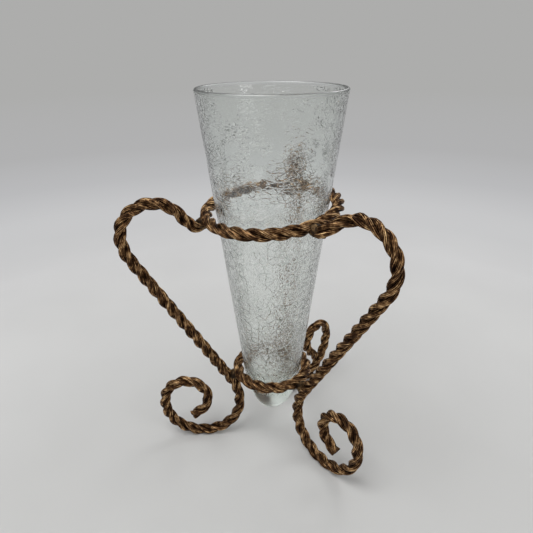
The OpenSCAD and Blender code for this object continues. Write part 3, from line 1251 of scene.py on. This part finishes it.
    @staticmethod
    def _close_ends(bm: bmesh.types.BMesh) -> None:
        """Closes a strand's two cut ends with flat fans.

        Args:
            bm: The strand's bmesh.
        """
        edges = [edge for edge in bm.edges if edge.is_boundary]
        caps = bmesh.ops.holes_fill(bm, edges=edges, sides=0)["faces"]
        for hub in bmesh.ops.poke(bm, faces=caps)["verts"]:
            ring = sum((edge.other_vert(hub).co for edge in hub.link_edges), Vector()) / len(hub.link_edges)
            hub.co = ring


@dataclass
class RopePart:
    """One rope of the stand: its three strands, each in place of its CAD node."""

    name: str
    stations: list[Station]
    closed: bool
    builder: StrandBuilder
    material: bpy.types.Material
    seed: int

    def build(self) -> None:
        """Builds the strands and sets them on the stand."""
        for number in range(1, self.builder.rope.strands + 1):
            node = f"{self.name}_strand_{number}"
            piece = self.builder.build(f"wire_{node}", self.stations, number, self.closed,
                                       self.material, self.seed + number)
            place_on(piece, node, "stand")
            LOG.info("%s: %d faces", piece.name, len(piece.data.polygons))


@dataclass
class BrazeBead:
    """A rough bead of braze between two ropes.

    Attributes:
        node: The CAD node that it replaces.
        centre: Where it lies.
        diameter: Its largest width.
        material: Its material.
        seed: What makes its lumps its own.
        roughness: Share of its width between its hollows and its lumps.
        lump_pace, lump_height: How close together the lumps are, and how strong.
        lump_layers: The noise's fall from layer to layer, the step between layers and their number.
        seed_apart: How far apart in the noise two beads are.
    """

    node: str
    centre: Vector
    diameter: float
    material: bpy.types.Material
    seed: int
    roughness: float = 0.16
    lump_pace: float = 2.2
    lump_height: float = 1.4
    lump_layers: tuple[float, float, int] = (0.8, 2.0, 3)
    seed_apart: Triple = (3.7, 1.9, 0.0)

    def build(self) -> None:
        """Builds the bead and sets it on the stand."""
        bm = bmesh.new()
        ridge_layer = bm.verts.layers.float.new("ridge")
        bmesh.ops.create_icosphere(bm, subdivisions=5, radius=self.diameter / 2 * MM)
        offset = self.seed * Vector(self.seed_apart)
        for vert in bm.verts:
            there = vert.co.normalized() * self.lump_pace + offset
            lumps = max(-1.0, min(1.0, self.lump_height * noise.fractal(there, *self.lump_layers)))
            vert[ridge_layer] = max(0.0, min(1.0, 0.5 + 0.5 * lumps))
            vert.co = self.centre * MM + vert.co * (1 - self.roughness / 2 * (1 - lumps))
        piece = finish_mesh(f"bead_{self.node}", bm, self.material)
        place_on(piece, self.node, "stand")
        LOG.info("%s", piece.name)


@dataclass
class Stand:
    """The tripod: two rings, three legs and six brazed joints."""

    routes: Routes
    rope_material: bpy.types.Material
    braze_material: bpy.types.Material

    def build(self) -> None:
        """Builds every rope and bead.

        The lay of each leg starts so that its strands reach the foot as those of the solids do.
        """
        r, s, builder = self.routes, self.routes.stand, StrandBuilder(self.routes.rope)
        upper = r.ring(r.upper_ring_r, s.upper_ring_h, s.upper_ring_rise, s.upper_ring_high, builder.step)
        lower = r.ring(s.lower_ring_d / 2, s.lower_ring_h, 0.0, 0.0, builder.step)
        RopePart("upper_ring", upper, True, builder, self.rope_material, seed=10).build()
        RopePart("lower_ring", lower, True, builder, self.rope_material, seed=20).build()
        as_cut = replace(r, stand=StandSizes())
        for leg in Leg:
            lay_start = LegRoute(as_cut, leg).length - LegRoute(r, leg).length
            route = LegRoute(r, leg, lay_start)
            name = leg.name.lower()
            RopePart(f"{name}_leg", route.stations(builder.step), False, builder, self.rope_material,
                     seed=30 + 10 * leg.value).build()
            BrazeBead(f"{name}_upper_braze", self._upper_joint(route), s.braze_d, self.braze_material,
                      seed=leg.value).build()
            BrazeBead(f"{name}_lower_braze", self._lower_joint(route), s.braze_d, self.braze_material,
                      seed=len(Leg) + leg.value).build()

    def _upper_joint(self, route: LegRoute) -> Vector:
        """Where a leg's top end is brazed to the upper ring.

        Args:
            route: The leg's route.

        Returns:
            The bead's centre.
        """
        s = self.routes.stand
        if s.hook_turns[route.leg.value] > 0:
            return route.point(0.0)
        overlap = s.end_overlaps[route.leg.value]
        direction = s.leg_dirs[route.leg.value] + route.sweep(overlap)
        ring = round_z(self.routes.upper_ring_r, direction, self.routes.upper_ring_at(direction))
        return (route.point(overlap) + ring) / 2

    def _lower_joint(self, route: LegRoute) -> Vector:
        """Where a leg is brazed to the lower ring.

        Args:
            route: The leg's route.

        Returns:
            The bead's centre.
        """
        s = self.routes.stand
        ring = round_z(s.lower_ring_d / 2, s.leg_dirs[route.leg.value], s.lower_ring_h)
        return (route.point(route.crossing_length) + ring) / 2


@dataclass
class GlassVase:
    """The loose cone of crackle glass.

    Attributes:
        routes: The places that follow from the sizes.
        material: The glass.
        around: Steps round the axis.
        side_steps, tip_steps, rim_steps: Steps of the outline on a side, at the tip and over the rim.
        ripple: Depth of the inside's unevenness.
        ripple_around, ripple_up: How fast it changes round the glass and up it.
        ripple_below_seat: How far below the lower ring it begins.
        seat_fade, rim_fade: Lengths over which it grows at the bottom and fades at the rim.
        wall_share: Share of the wall past which a point belongs to the inside.
    """

    routes: Routes
    material: bpy.types.Material
    around: int = 160
    side_steps: int = 90
    tip_steps: int = 28
    rim_steps: int = 10
    ripple: float = 0.12
    ripple_around: float = 5.0
    ripple_up: float = 0.085
    ripple_below_seat: float = 10.0
    seat_fade: float = 15.0
    rim_fade: float = 12.0
    wall_share: float = 0.9

    @staticmethod
    def _pulled(points: Sequence[Vector], t: float) -> Vector:
        """A point of the curve that two handles pull between its ends."""
        a, b, c, d = points
        return (1 - t) ** 3 * a + 3 * (1 - t) ** 2 * t * b + 3 * (1 - t) * t * t * c + t ** 3 * d

    def profile(self) -> list[Vector]:
        """The outline, from the tip over the rim and down to the cavity's bottom.

        Returns:
            Its points, as radius and height.
        """
        r, g = self.routes, self.routes.glass
        seat_h = r.stand.lower_ring_h
        slope = Vector((math.sin(r.seat_lean), math.cos(r.seat_lean)))
        tip_h = seat_h - g.tip_drop
        cavity_h = tip_h + g.tip_depth
        seat = Vector((r.seat_r, seat_h))
        handle = seat - g.tip_drop * g.tip_pull * slope
        flat = math.sqrt(g.tip_r * (handle.y - tip_h) * 2 / 3)
        inner = Vector((r.seat_r - g.seat_wall, seat_h))
        inner_handle = inner - (seat_h - cavity_h) * g.cavity_pull * slope
        tip = (Vector((0.0, tip_h)), Vector((flat, tip_h)), handle, seat)
        bottom = Vector((0.0, cavity_h))
        cavity = (inner, inner_handle, bottom + Vector((inner.x * g.cavity_round, 0.0)), bottom)
        mouth = Vector((g.mouth_d / 2, r.rim_h))
        inner_mouth = mouth - Vector((g.mouth_wall, 0.0))
        points = [self._pulled(tip, k / self.tip_steps) for k in range(self.tip_steps)]
        points += [seat.lerp(mouth, k / self.side_steps) for k in range(self.side_steps)]
        for k in range(self.rim_steps + 1):
            a = math.pi * k / self.rim_steps
            points.append((mouth + inner_mouth) / 2 + g.mouth_wall / 2 * heading_vector(a))
        points += [inner_mouth.lerp(inner, k / self.side_steps) for k in range(1, self.side_steps)]
        points += [self._pulled(cavity, k / self.tip_steps) for k in range(self.tip_steps + 1)]
        return points

    def build(self) -> None:
        """Spins the outline, with its outer skin marked for the cracks."""
        bm = bmesh.new()
        skin_layer = bm.verts.layers.float.new("skin")
        verts = [bm.verts.new(Vector((p.x, 0.0, p.y)) * MM) for p in self.profile()]
        for vert in verts[:self.tip_steps + self.side_steps + self.rim_steps // 2]:
            vert[skin_layer] = 1.0
        edges = [bm.edges.new(pair) for pair in zip(verts, verts[1:])]
        bmesh.ops.spin(bm, geom=verts + edges, axis=(0, 0, 1), cent=(0, 0, 0), angle=math.tau,
                       steps=self.around, use_merge=True)
        bmesh.ops.remove_doubles(bm, verts=bm.verts, dist=MERGE)
        self._ripple_inside(bm)
        piece = finish_mesh("crackle_cone", bm, self.material)
        piece.visible_shadow = False
        place_on(piece, "glass_vase", "vase")
        LOG.info("%s: %d faces", piece.name, len(piece.data.polygons))

    def _ripple_inside(self, bm: bmesh.types.BMesh) -> None:
        """Gives the inside the unevenness of blown glass.

        Args:
            bm: The spun glass.
        """
        r = self.routes
        bottom = r.stand.lower_ring_h - self.ripple_below_seat
        for vert in bm.verts:
            point = vert.co / MM
            radius = math.hypot(point.x, point.y)
            inside = radius < r.side_r(point.z) - r.glass.mouth_wall * self.wall_share
            if inside and point.z > bottom:
                way = Vector((point.x, point.y, 0.0)) / radius
                fade = ease((r.rim_h - point.z) / self.rim_fade) * ease((point.z - bottom) / self.seat_fade)
                there = self.ripple_around * way + Vector((0.0, 0.0, point.z * self.ripple_up))
                vert.co += way * self.ripple * fade * noise.noise(there) * MM


# Studio


@dataclass(frozen=True)
class PhotoCamera:
    """The photograph's camera, as fitted to the rim, the rings and the legs."""

    image: float = 533.0
    focal: float = 459.241
    pitch: float = 26.067
    yaw: float = 0.762
    roll: float = -0.468
    turn: float = 15.468
    distance: float = 277.936
    height: float = 276.765
    sensor: float = 36.0
    near: float = 0.01
    far: float = 50.0

    def build(self) -> None:
        """Makes the scene's camera.

        The focal length is in the photograph's pixels, the angles are in degrees, and turn is how far
        the stand is turned before the camera.
        """
        pitch, yaw, roll = (math.radians(v) for v in (self.pitch, self.yaw, self.roll))
        level = Vector((-math.sin(yaw), math.cos(yaw), 0.0))
        ahead = math.cos(pitch) * level - Vector((0.0, 0.0, math.sin(pitch)))
        right = Vector((math.cos(yaw), math.sin(yaw), 0.0))
        up = right.cross(ahead)
        across = math.cos(roll) * right + math.sin(roll) * up
        upright = -math.sin(roll) * right + math.cos(roll) * up
        facing = Matrix((across, upright, -ahead)).transposed().to_4x4()
        stand = Matrix.Translation(Vector((0.0, -self.distance, self.height)) * MM)
        data = bpy.data.cameras.new("photo_camera")
        data.sensor_fit = "HORIZONTAL"
        data.sensor_width = self.sensor
        data.lens = self.focal / self.image * self.sensor
        data.clip_start = self.near
        data.clip_end = self.far
        camera = bpy.data.objects.new("photo_camera", data)
        camera.matrix_world = Matrix.Rotation(math.radians(self.turn), 4, "Z") @ stand @ facing
        bpy.context.scene.collection.objects.link(camera)
        bpy.context.scene.camera = camera


@dataclass(frozen=True)
class Lamp:
    """A soft rectangular lamp."""

    name: str
    place: Triple
    target: Triple
    width: float
    depth: float
    power: float

    def build(self) -> None:
        """Makes the lamp and aims it."""
        data = bpy.data.lights.new(self.name, "AREA")
        data.shape = "RECTANGLE"
        data.size, data.size_y = self.width, self.depth
        data.energy = self.power
        lamp = bpy.data.objects.new(self.name, data)
        lamp.location = self.place
        aim = Vector(self.target) - Vector(self.place)
        lamp.rotation_euler = aim.to_track_quat("-Z", "Y").to_euler()
        bpy.context.scene.collection.objects.link(lamp)


@dataclass(frozen=True)
class Studio:
    """A pale floor whose tone is painted light and shade: darker near the stand, brightest in a ring round
    it, and fading into the backdrop's grey; and soft lamps.
    """

    floor_radius: float = 12.0
    gradient_reach: float = 3.0
    # Painted light: the floor's tone follows how the lamps' light falls, darker at the stand, brightest
    # some 0.4 m out, then falling to the backdrop grey.
    stops: tuple[tuple[float, Colour], ...] = (
        (0.0, (0.585, 0.585, 0.577)), (0.058, (0.60, 0.60, 0.592)), (0.083, (0.64, 0.64, 0.634)),
        (0.12, (0.685, 0.685, 0.68)), (0.16, (0.69, 0.69, 0.692)), (0.20, (0.605, 0.607, 0.613)),
        (0.30, (0.49, 0.492, 0.502)), (0.41, (0.438, 0.438, 0.442)), (1.0, (0.418, 0.418, 0.412)))
    middle: Triple = (0.027, -0.096, 0.0)
    floor_sides: int = 96
    far: Step = Step(0.4, 0.72)
    mottle_scale: float = 9.0
    mottle: Step = Step(0.3, 0.7, 0.985, 1.015)
    backdrop: Colour = (0.418, 0.418, 0.412)
    sky: float = 0.40
    mirrored_sky: float = 0.20
    lamps: tuple[Lamp, ...] = (
        Lamp("key", (-0.25, -0.35, 1.15), (0.0, 0.0, 0.1), 0.75, 0.55, 7.0),
        Lamp("fill", (0.9, -0.5, 0.7), (0.0, 0.0, 0.12), 0.5, 0.6, 2.0),
        Lamp("back", (0.35, 0.95, 0.85), (0.0, 0.0, 0.15), 0.6, 0.35, 2.4))

    def build(self) -> None:
        """Makes the floor, the world and the lamps."""
        self._floor()
        self._world()
        for lamp in self.lamps:
            lamp.build()

    def _floor(self) -> None:
        """Makes a disc that takes shadows near the stand and glows far from it, in a tone painted with the
        fall of light into the backdrop's grey.
        """
        bm = bmesh.new()
        bmesh.ops.create_circle(bm, cap_ends=True, segments=self.floor_sides, radius=self.floor_radius)
        material = bpy.data.materials.new("pale_floor")
        n = Nodes.fresh(material)
        places = n.add("TexCoord").outputs["Object"]
        reach = n.vector("DISTANCE", places, self.middle, output="Value")
        # The tone is painted light and shade across the floor.
        tone = n.ramp(n.math("DIVIDE", reach, self.gradient_reach, clamp=True), self.stops)
        mottle = n.smooth(n.noise(places, self.mottle_scale, 2.0), self.mottle)
        diffuse = n.add("BsdfDiffuse", None, Color=n.vector("SCALE", tone, Scale=mottle))
        glow = n.add("Emission", None, Color=tone)
        rays = n.add("LightPath").outputs
        seen = n.largest(rays["Is Camera Ray"], rays["Is Glossy Ray"], rays["Is Transmission Ray"])
        # Far from the stand, camera, glossy and transmission rays see the painted tone glowing.
        mix = n.add("MixShader", None, Fac=n.product(n.smooth(reach, self.far), seen),
                    _1=diffuse.outputs["BSDF"], _2=glow.outputs["Emission"])
        n.add("OutputMaterial", None, Surface=mix.outputs["Shader"])
        finish_mesh("floor", bm, material)

    def _world(self) -> None:
        """Makes the world: the backdrop's grey where it is seen, even light, a dimmer level mirrored."""
        world = bpy.data.worlds.new("studio")
        bpy.context.scene.world = world
        n = Nodes.fresh(world)
        rays = n.add("LightPath").outputs
        seen = n.largest(rays["Is Camera Ray"], rays["Is Transmission Ray"])
        dimmer = n.product(rays["Is Glossy Ray"], self.mirrored_sky - self.sky)
        even = n.add("Background", None, Color=(1.0, 1.0, 1.0), Strength=n.math("ADD", self.sky, dimmer))
        grey = n.add("Background", None, Color=self.backdrop)
        mix = n.add("MixShader", None, Fac=seen, _1=even.outputs["Background"],
                    _2=grey.outputs["Background"])
        n.add("OutputWorld", None, Surface=mix.outputs["Shader"])


def main() -> None:
    """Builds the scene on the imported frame."""
    logging.basicConfig(level=logging.INFO, format="%(name)s: %(message)s")
    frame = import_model()
    LOG.info("frame with %d nodes", len(frame["nodes"]))
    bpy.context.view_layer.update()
    bpy.context.scene.view_settings.view_transform = "Standard"
    PhotoCamera().build()
    Studio().build()
    materials = Materials()
    routes = Routes(GlassSizes(), RopeSizes(), StandSizes().end_beside())
    Stand(routes, materials.gold(ROPE_FINISH), materials.gold(BRAZE_FINISH)).build()
    GlassVase(routes, materials.glass(GLASS_FINISH)).build()


if __name__ == "__main__":
    main()
